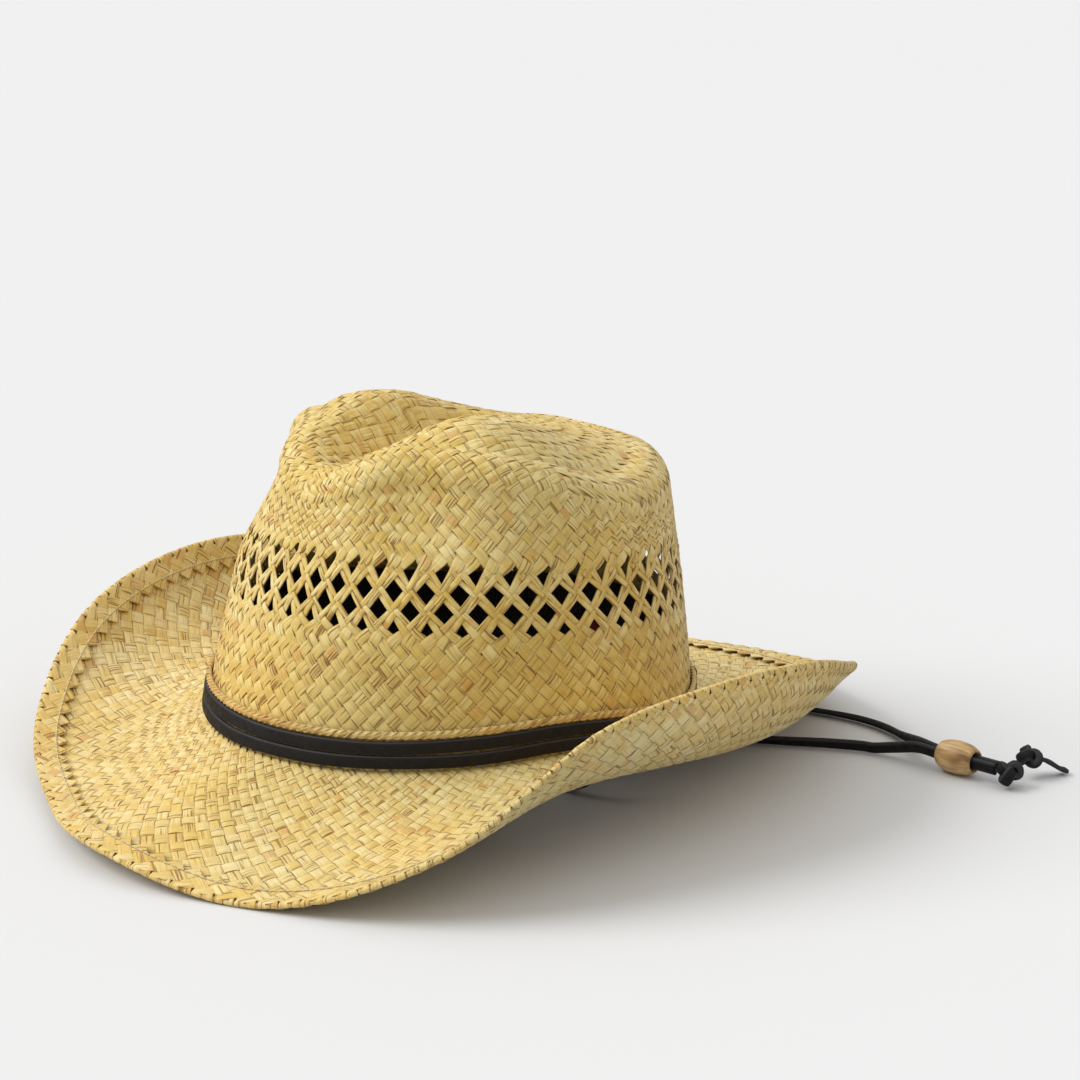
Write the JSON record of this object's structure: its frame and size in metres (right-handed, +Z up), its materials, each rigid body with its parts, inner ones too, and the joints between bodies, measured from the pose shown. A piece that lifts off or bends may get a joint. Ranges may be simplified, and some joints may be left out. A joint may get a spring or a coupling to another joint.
{
  "type": "western straw hat",
  "caption": "Woven western hat with a creased openwork crown, curled brim with folded edge, two-lace leather hatband and a chin cord with a sliding wooden bead.",
  "frame": {"origin": "ground plane under the middle of the hat's own outline, hat standing on its brim, chin cord not counted", "axes": "+Z up, -Y the front of the hat, +X the wearer's left side"},
  "size_m": [0.3205, 0.3444, 0.1442],
  "materials": {
    "straw_tip": "woven raffia, matt",
    "straw_wall": "woven raffia, matt",
    "straw_vents": "openwork raffia, matt",
    "straw_foot": "woven raffia, matt",
    "straw_twining": "twined raffia, matt",
    "straw_brim": "woven raffia, matt",
    "straw_hem": "woven raffia, folded and frayed",
    "edge_wire": "drawn steel wire",
    "straw_thread": "pale sewing thread",
    "lace_leather": "black leather, satin face and fuzzy edge",
    "ribbon": "ribbed black ribbon",
    "dark_thread": "black sewing thread",
    "label_cloth": "plain red label cloth, blank",
    "bead_wood": "turned pale wood, light varnish"
  },
  "bodies": {
    "hat": {"crown_tip": "straw_tip", "crown_wall_upper": "straw_wall", "vent_band": "straw_vents", "crown_wall_lower": "straw_foot", "base_twining": "straw_twining", "brim": "straw_brim", "brim_hem": "straw_hem", "brim_wire": "edge_wire", "hem_stitching": "straw_thread", "hatband_lace_lower": "lace_leather", "hatband_lace_upper": "lace_leather", "hatband_keeper": "lace_leather", "sweatband": "ribbon", "sweatband_stitching": "dark_thread", "size_label": "label_cloth", "chin_cord_left": "lace_leather", "chin_cord_right": "lace_leather", "cord_knot_inner": "lace_leather", "cord_knot_outer": "lace_leather", "cord_tail": "lace_leather"},
    "bead": {"slider_bead": "bead_wood"}
  },
  "joints": [
    {"name": "bead_slide", "type": "slide", "parent": "hat", "child": "bead", "axis": [0.9962, 0.0872, 0], "range_m": [-0.06, 0.006], "deforming": ["chin_cord_left", "chin_cord_right"]}
  ]
}
